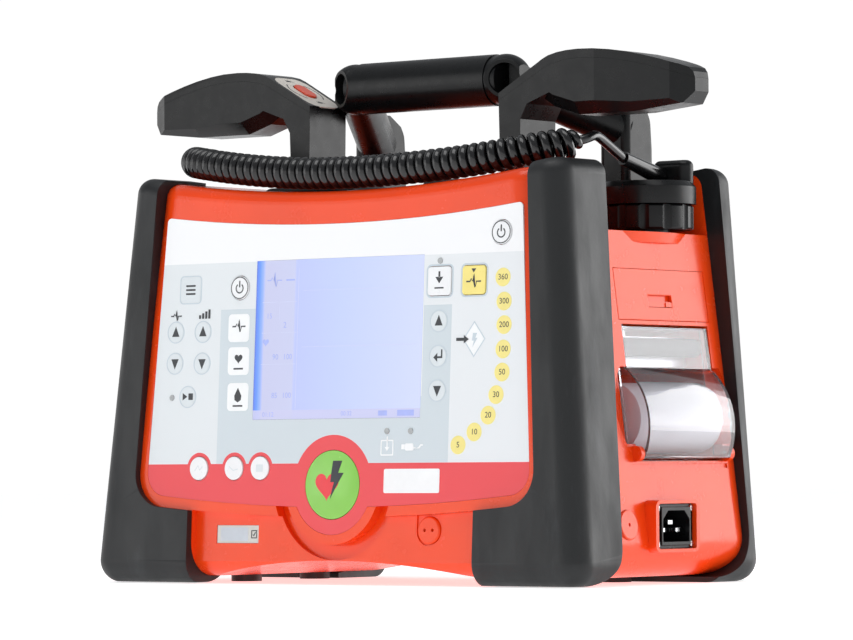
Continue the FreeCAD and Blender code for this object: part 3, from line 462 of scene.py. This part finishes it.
def panel_print():
    rims, pads, white = Print(PANEL, FILM_W), Print(PANEL, FILM_W + 0.05, 0.1), Print(PANEL, FILM_W, 0.16)
    dark, yellow = Print(PANEL, FILM_W + 0.16), Print(PANEL, FILM_W, 0.1)
    figures = Print(PANEL, FILM_W + 0.1)
    round_keys = [(u, v) for u, v, _ in ARROWS] + [(68.6, 120.9), (-103.1, 101.8)]
    rims.shapes([loop for u, v in round_keys for loop in (circle(u, v, 6.1), circle(u, v, 5.5))])
    rims.shapes([rounded_box(-103.2, 160.4, 7.8, 7.8, 2.6), rounded_box(-103.2, 160.4, 7.2, 7.2, 2.2)])
    rims.shapes([rounded_box(68.5, 160.5, 8.9, 8.9, 3.0), rounded_box(68.5, 160.5, 8.1, 8.1, 2.4)])
    rims.shapes([rounded_box(91.2, 160.4, 8.9, 8.9, 3.0), rounded_box(91.2, 160.4, 8.1, 8.1, 2.4)])
    rims.shapes([charge_diamond(7.4, 9.6), charge_diamond(6.6, 8.6)])
    rims.shapes([[(91.2, 132.6), (93.9, 132.6), (92.8, 130.0), (94.2, 130.0), (91.0, 125.0), (91.9, 128.6),
                  (90.6, 128.6)]])
    pads.shapes([circle(u, v, 5.3) for u, v in round_keys] + [rounded_box(-103.2, 160.4, 7.0, 7.0, 2.0)])
    white.shapes([rounded_box(u, v, 7.4, 7.6, 2.4) for u, v in SIDE_PADS])
    white.shapes([rounded_box(53.3, 55.4, 18.5, 6.4, 1.0)])
    white.shapes([rounded_box(36.4, 73.0, 4.3, 4.2, 0.6), rounded_box(36.4, 73.0, 3.6, 3.5, 0.3),
                  [(36.0, 79.0), (36.0, 73.4), (34.9, 73.4), (36.4, 71.2), (37.9, 73.4), (36.8, 73.4), (36.8, 79.0)]])
    white.shapes([stroke([(46.0, 73.4), (48.2, 73.4)], 2.6), rounded_box(51.2, 73.3, 2.9, 1.9, 1.0),
                  stroke([(54.1, 73.0), (56.0, 72.2), (57.6, 72.8), (58.8, 74.2), (60.2, 74.4)], 0.9)])
    dark.shapes([moved(shape, u, v) for u, v, shape in ARROWS])
    dark.shapes([[(65.6, 120.2), (68.2, 122.6), (68.2, 120.8), (70.6, 120.8), (70.6, 124.4), (71.5, 124.4),
                  (71.5, 119.8), (68.2, 119.8), (68.2, 117.9)]])
    dark.shapes([stroke(moved(TRACE, -68.1, 139.6, 1.15), 0.8), heart(-67.7, 122.2, 2.9),
                 stroke([(-71.0, 116.6), (-64.4, 116.6)], 0.9)])
    dark.shapes([[(-67.4, 106.3), (-69.9, 101.9), (-69.6, 99.6), (-67.4, 98.3), (-65.2, 99.6), (-64.9, 101.9)],
                 stroke([(-70.8, 96.4), (-64.0, 96.4)], 0.9)])
    dark.shapes([[(-106.6, 99.9), (-106.6, 103.9), (-103.3, 101.9)], rounded_box(-100.9, 101.9, 1.6, 1.8, 0.3)])
    dark.shapes([[(80.4, 128.6), (85.4, 128.6), (85.4, 127.2), (88.6, 129.4), (85.4, 131.6), (85.4, 130.2),
                  (80.4, 130.2)]])
    dark.shapes([stroke(moved(TRACE, -113.0, 146.2, 0.95), 0.7)])
    dark.shapes([rounded_box(-96.0 + 2.2 * i, 145.4 + 0.5 * i, 0.7, 1.0 + 0.5 * i, 0.1) for i in range(4)])
    dark.shapes([rounded_box(-103.2, 160.4 + d, 3.4, 0.5, 0.3) for d in (-2.2, 0, 2.2)])
    yellow.shapes([circle(u, v, 4.9) for u, v in ENERGY.values()])
    for number, (u, v) in ENERGY.items():
        figures.figures(number, u, v, 4.3)
    rims.done("panel_key_rims", "ink_rim", slot="panel_film")
    pads.done("panel_key_pads", "ink_pale", slot="panel_film")
    white.done("panel_white_print", "ink_white", slot="panel_film")
    dark.done("panel_dark_print", "ink_dark", slot="panel_film")
    yellow.done("panel_energy_spots", "ink_yellow", slot="panel_film")
    figures.done("panel_energy_figures", "ink_dark", slot="panel_film")
    charge = Print(PANEL, FILM_W, 0.04)
    charge.shapes([charge_diamond(6.5, 8.5)])
    charge.done("panel_charge_key", "ink_white", slot="panel_film")


def key_print():
    top = 0.6
    for key, body, place in (("power", "power_key", (108.3, 185.0)), ("pacer", "pacer_power_key", (-68.0, 160.6))):
        Print(PANEL, top).shapes(power_mark(*place, 6.1)).done(key + "_key_mark", "ink_dark", body)
    Print(PANEL, top).shapes([stroke(moved([(-3, 0), (3, 0)], 68.5, 156.8), 0.8),
                              [(65.9, 162.6), (68.5, 159.2), (71.1, 162.6)],
                              rounded_box(68.5, 164.0, 0.6, 1.6, 0.2)]).done(
        "manual_key_mark", "ink_dark", "manual_key")
    Print(PANEL, top).shapes([stroke(moved(TRACE, 91.2, 159.6, 1.2), 0.8),
                              [(89.6, 166.4), (92.6, 166.4), (91.1, 164.2)]]).done(
        "sync_key_mark", "ink_dark", "sync_key")
    marks = {"soft_key_left": stroke([(-96.0, 61.2), (-93.6, 64.2), (-92.4, 61.6), (-90.6, 63.6)], 0.6),
             "soft_key_middle": stroke([(-71.6, 63.6), (-68.6, 61.4), (-65.4, 62.2)], 0.6),
             "soft_key_right": rounded_box(SOFT_KEYS["soft_key_right"], SOFT_KEY_V, 2.4, 2.0, 0.3)}
    for body, shape in marks.items():
        Print(PANEL, top).shapes([shape]).done(body + "_mark", "ink_pale", body)


def dome_print(name, loops, material, lift):
    """A mark that follows the green key's shallow dome."""
    radius = (SHOCK_R ** 2 + SHOCK_RISE ** 2) / (2 * SHOCK_RISE)
    mark = Print(PANEL, 0.0, 0.3)
    mark.shapes(loops)
    mesh = bpy.data.meshes.new(name)
    bmesh.ops.subdivide_edges(mark.form, edges=mark.form.edges, cuts=2, use_grid_fill=True)
    bmesh.ops.triangulate(mark.form, faces=mark.form.faces)
    normal = PANEL.w
    centre = PANEL.at(*SHOCK_KEY)
    for vert in mark.form.verts:
        away = vert.co - centre
        away -= normal * away.dot(normal)
        bow = math.sqrt(radius ** 2 - (away.length / MM) ** 2) - radius + SHOCK_RISE
        vert.co += normal * (bow - 0.25 + lift) * MM
    mark.form.to_mesh(mesh)
    mark.form.free()
    return add_piece(name, mesh, material, "shock_key")


def shock_print():
    shape = [(u - 2.6, v - 0.2) for u, v in heart(*SHOCK_KEY, 8.6)]
    dome_print("shock_key_heart", [shape], "ink_red", 0.0)
    dome_print("shock_key_bolt", [moved(BOLT, 2.2, 56.2, 1.12)], "ink_dark", 0.05)


def screen_print():
    ink, line = Print(PANEL, FILM_W, 0.03), Print(PANEL, FILM_W, 0.03)
    line.shapes([stroke([(-27.2, 94.5), (-27.2, 170.0)], 0.35), stroke([(-52.0, 152.2), (-28.0, 152.2)], 0.3),
                 stroke([(-52.0, 135.6), (-28.0, 135.6)], 0.3), stroke([(-52.0, 118.6), (-28.0, 118.6)], 0.3),
                 stroke([(-40.0, 136.0), (-40.0, 151.8)], 0.3)])
    line.shapes([stroke([(-24.0, 127.6), (54.0, 127.6)], 0.25), stroke([(-24.0, 158.0), (54.0, 158.0)], 0.2)])
    ink.shapes([heart(-49.0, 130.6, 2.3), stroke(moved(TRACE, -44.0, 164.0, 1.3), 0.6),
                stroke([(-36.0, 164.0), (-30.0, 164.0)], 0.9)])
    for text, u, v, size in (("90", -42.0, 122.4, 4.2), ("100", -33.5, 122.4, 4.2), ("2", -36.0, 139.6, 4.6),
                             ("85", -42.0, 101.6, 4.2), ("100", -33.5, 101.6, 4.2), ("15", -47.0, 144.6, 4.0),
                             ("01:12", -46.0, 91.4, 3.6), ("00:32", 8.0, 91.4, 3.4)):
        ink.figures(text, u, v, size)
    ink.shapes([rounded_box(48.0, 91.4, 5.6, 1.6, 0.2), rounded_box(32.6, 91.4, 3.0, 1.4, 0.2)])
    ink.done("screen_figures", "screen_ink", slot="screen_glass")
    line.done("screen_lines", "screen_line", slot="screen_glass")


def status_print():
    face = LOWER_W - 0.5
    Print(PANEL, face, 0.08).shapes([rounded_box(-70.0, 27.1, 9.6, 3.7, 0.3)]).done(
        "status_window", "ink_rim", slot="status_glass")
    Print(PANEL, face, 0.14).shapes([rounded_box(-56.2, 27.1, 2.0, 2.2, 0.2), rounded_box(-56.2, 27.1, 1.5, 1.7, 0.1),
                                     stroke([(-57.1, 27.0), (-56.5, 26.2), (-55.3, 28.2)], 0.5)]).done(
        "status_mark", "ink_dark", slot="status_glass")


# ------------------------------------------------------------------ paddles
def label_plates():
    for side, plane in LABELS.items():
        body = side + "_paddle"
        plate = Print(plane, -0.98, 0.9)
        plate.shapes([rounded_box(-1, 0, 17.8, 13.3, 7.6), rounded_box(0, 0, 8.0, 5.2, 4.9)])
        plate.done(side + "_paddle_label_plate", "label_plate", body, "key_white")
        marks = Print(plane, -0.08, 0.05)
        marks.shapes([moved(BOLT, -13.4, 0, 0.34), moved(BOLT, 12.6, 0, 0.34)])
        marks.shapes([arc_band(0, 0, 10.6, 11.3, 40, 140), arc_band(0, 0, 10.6, 11.3, 220, 320)])
        marks.done(side + "_paddle_label_marks", "ink_dark", body, "key_white")


# ------------------------------------------------------------------ the curly cord
LEAD = [(126.2, 8.4, 226.3), (126.8, -7.0, 233.2), (128.0, -19.0, 237.6), (129.0, -27.5, 234.9)]
COIL = [(122.0, -39.0, 231.2), (108.0, -50.5, 229.0), (86.5, -58.2, 225.2),
        (54.0, -61.6, 222.4), (14.0, -63.4, 220.9), (-26.0, -62.6, 221.2), (-64.0, -61.6, 224.0),
        (-98.0, -59.6, 228.4), (-124.0, -50.0, 232.4), (-134.5, -30.0, 233.0)]
TAIL = [(-128.0, -15.0, 231.4), (-113.0, -6.5, 227.8), (-96.0, -4.5, 225.0), (-79.2, -4.0, 224.0)]
STRAND = 5.2                 # diameter of the cord itself
TURN_R = 6.3                 # radius of the coil's turns, to the middle of the strand
PITCH = 5.38
LEAD_RUN = 41.0              # straight lead before the turns begin, and the tail after they end
TAIL_RUN = 52.0
ROUTE_STEP, RING_STEP = 0.2, 1.35  # between points of the route, and between the mesh's rings


def line_through(points):
    """Points along the smooth line of a route, from its own NURBS spline."""
    curve = bpy.data.curves.new("route", "CURVE")
    curve.dimensions, curve.resolution_u = "3D", 40
    spline = curve.splines.new("NURBS")
    spline.points.add(len(points) - 1)
    for point, place in zip(spline.points, points):
        point.co = (*place, 1)
    spline.order_u = 3
    spline.use_endpoint_u = True
    holder = bpy.data.objects.new("route", curve)
    mesh = bpy.data.meshes.new_from_object(holder)
    return [vert.co.copy() for vert in mesh.vertices]


def evenly(points, step):
    """The same line with a point every step."""
    out, carry = [points[0]], 0.0
    for a, b in zip(points, points[1:]):
        length = (b - a).length
        while carry + length >= step:
            share = (step - carry) / length
            a = a.lerp(b, share)
            length = (b - a).length
            carry = 0.0
            out.append(a)
        carry += length
    if len(out) > 1 and carry < step / 2:
        out.pop()
    return out + [points[-1]]


def frames_along(points):
    """Two directions square to the line at each point, turning as little as they can."""
    side, made = Vector((0, 0, 1)), []
    for i, _ in enumerate(points):
        along = (points[min(i + 1, len(points) - 1)] - points[max(i - 1, 0)]).normalized()
        side = (side - along * side.dot(along)).normalized()
        made.append((side, along.cross(side)))
    return made


def eased(x):
    x = min(1.0, max(0.0, x))
    return x * x * (3 - 2 * x)


def curled(points, step):
    """The line that the strand follows: turns round the route, which open out of its straight ends."""
    total = step * (len(points) - 1)
    angle, out = 0.0, []
    for i, (point, (a, b)) in enumerate(zip(points, frames_along(points))):
        at = i * step
        open_in = eased((at - LEAD_RUN) / 9.0) * eased((total - TAIL_RUN - at) / 9.0)
        angle += 2 * math.pi * step / PITCH * (1.0 if open_in > 0 else 0.0)
        out.append(point + (a * math.cos(angle) + b * math.sin(angle)) * TURN_R * open_in)
    return out


def tube(name, points, radii, sides=12):
    """A round tube along points, closed at its ends."""
    form = bmesh.new()
    rings = []
    for point, radius, (a, b) in zip(points, radii, frames_along(points)):
        ring = []
        for i in range(sides):
            turn = 2 * math.pi * i / sides
            ring.append(form.verts.new((point + (a * math.cos(turn) + b * math.sin(turn)) * radius) * MM))
        rings.append(ring)
    for ring, after in zip(rings, rings[1:]):
        for i in range(sides):
            form.faces.new((ring[i], ring[(i + 1) % sides], after[(i + 1) % sides], after[i]))
    form.faces.new(rings[0][::-1])
    form.faces.new(rings[-1])
    bmesh.ops.recalc_face_normals(form, faces=form.faces)
    mesh = bpy.data.meshes.new(name)
    form.to_mesh(mesh)
    form.free()
    return mesh


def curly_cord():
    route = evenly(line_through(LEAD + COIL + TAIL), ROUTE_STEP)
    strand = evenly(curled(route, ROUTE_STEP), RING_STEP)
    mesh = tube("curly_cord", strand, [STRAND / 2] * len(strand))
    cord = add_piece("curly_cord", mesh, "cord_black", None, smooth=True)
    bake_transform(cord)
    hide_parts("cord_lead", "cord_coil", "cord_tail")


# ------------------------------------------------------------------ the studio
SOFTBOXES = [                # name, place, aim, width, height and radiance
    ("right_softbox", (0.98, 1.28, 0.42), (0.15, 0, 0.12), 1.25, 1.15, 3.0),
    ("front_left_softbox", (-1.35, -1.65, 0.62), (0, 0, 0.14), 1.2, 1.2, 1.1),
    ("overhead_softbox", (0.1, -0.35, 1.7), (0, 0, 0.15), 1.4, 0.9, 2.4)]
CAMERA_PLACE = (1.598628, -2.073892, 0.064881)
CAMERA_HEADING, CAMERA_RISE, CAMERA_ROLL = 0.6567224, 0.029751, -0.0068786  # radians
CAMERA_LENS = 202.2


def softbox(name, place, target, width, height, radiance):
    lamp = bpy.data.lights.new(name, "AREA")
    lamp.shape, lamp.size, lamp.size_y = "RECTANGLE", width, height
    lamp.energy = radiance * math.pi * width * height
    obj = bpy.data.objects.new(name, lamp)
    obj.location = place
    obj.rotation_euler = (Vector(target) - Vector(place)).to_track_quat("-Z", "Y").to_euler()
    bpy.context.scene.collection.objects.link(obj)


def studio():
    scene = bpy.context.scene
    world = bpy.data.worlds.new("studio")
    scene.world = world
    world.use_nodes = True
    nodes, links = world.node_tree.nodes, world.node_tree.links
    coord, axes = nodes.new("ShaderNodeTexCoord"), nodes.new("ShaderNodeSeparateXYZ")
    ramp = nodes.new("ShaderNodeValToRGB")
    links.new(coord.outputs["Generated"], axes.inputs[0])
    links.new(axes.outputs["Z"], ramp.inputs[0])
    ramp.color_ramp.elements[0].position, ramp.color_ramp.elements[0].color = 0.14, (1, 1, 1, 1)
    ramp.color_ramp.elements[1].position, ramp.color_ramp.elements[1].color = 0.3, (0.36, 0.37, 0.385, 1)
    links.new(ramp.outputs["Color"], nodes["Background"].inputs["Color"])
    nodes["Background"].inputs["Strength"].default_value = 1.02

    form = bmesh.new()
    bmesh.ops.create_circle(form, cap_ends=True, radius=8.0, segments=64)
    mesh = bpy.data.meshes.new("floor")
    form.to_mesh(mesh)
    form.free()
    floor = bpy.data.objects.new("floor", mesh)
    shade = Shade("floor", (0.93, 0.93, 0.93), 0.6).tinted(3, 0.01)
    shade.shader.inputs["Emission Color"].default_value = (1, 1, 1, 1)
    shade.shader.inputs["Emission Strength"].default_value = 0.6
    mesh.materials.append(shade.material)
    scene.collection.objects.link(floor)

    for name, *facts in SOFTBOXES:
        softbox(name, *facts)
    scene.view_settings.view_transform = "Standard"


def camera():
    data = bpy.data.cameras.new("camera")
    data.sensor_width, data.lens = 36.0, CAMERA_LENS
    data.clip_start, data.clip_end = 0.1, 30.0
    obj = bpy.data.objects.new("camera", data)
    turn = Matrix.Rotation(CAMERA_HEADING, 4, "Z") @ Matrix.Rotation(math.pi / 2 + CAMERA_RISE, 4, "X")
    turn = turn @ Matrix.Rotation(CAMERA_ROLL, 4, "Z")
    obj.matrix_world = Matrix.Translation(CAMERA_PLACE) @ turn
    bpy.context.scene.collection.objects.link(obj)
    bpy.context.scene.camera = obj


panel_print()
key_print()
shock_print()
screen_print()
status_print()
label_plates()
curly_cord()
studio()
camera()
